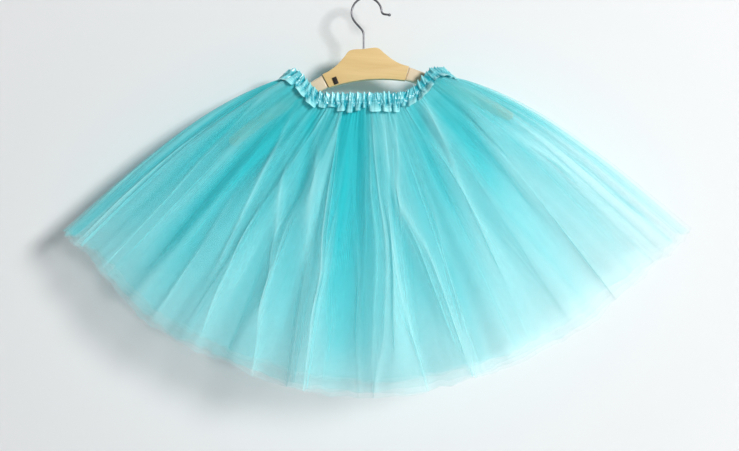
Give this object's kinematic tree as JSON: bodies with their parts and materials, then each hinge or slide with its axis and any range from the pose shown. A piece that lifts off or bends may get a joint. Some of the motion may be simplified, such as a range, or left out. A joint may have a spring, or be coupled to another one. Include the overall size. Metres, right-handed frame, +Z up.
{
  "type": "ballet tutu on a hanger",
  "caption": "Adult ballet tutu skirt of layered tulle on a ruched satin waistband, spread as a fan over the arms of a wooden hanger with a steel hook.",
  "frame": {"origin": "inside top of the hook's crook, where a rail or a hand holds the hanger", "axes": "+X across the fan to its right end as seen from the front, +Y to the back, +Z up"},
  "size_m": [0.8459, 0.1711, 0.5303],
  "materials": {
    "tulle": "fine soft nylon tulle net, aqua, see-through, faint sheen",
    "satin": "aqua polyester satin, glossy, ruched",
    "wood": "honey wood, clear satin lacquer",
    "pale_wood": "paler pinkish wood, clear satin lacquer",
    "dark_wood": "dark brown plain inlay",
    "steel": "dark gunmetal wire, satin"
  },
  "bodies": {
    "root": {"tulle_outer": "tulle", "tulle_middle": "tulle", "tulle_inner": "tulle", "waistband": "satin", "hanger_block": "wood", "hanger_arm_left": "pale_wood", "hanger_arm_right": "pale_wood", "hanger_key": "dark_wood", "hook": "steel"}
  },
  "joints": []
}
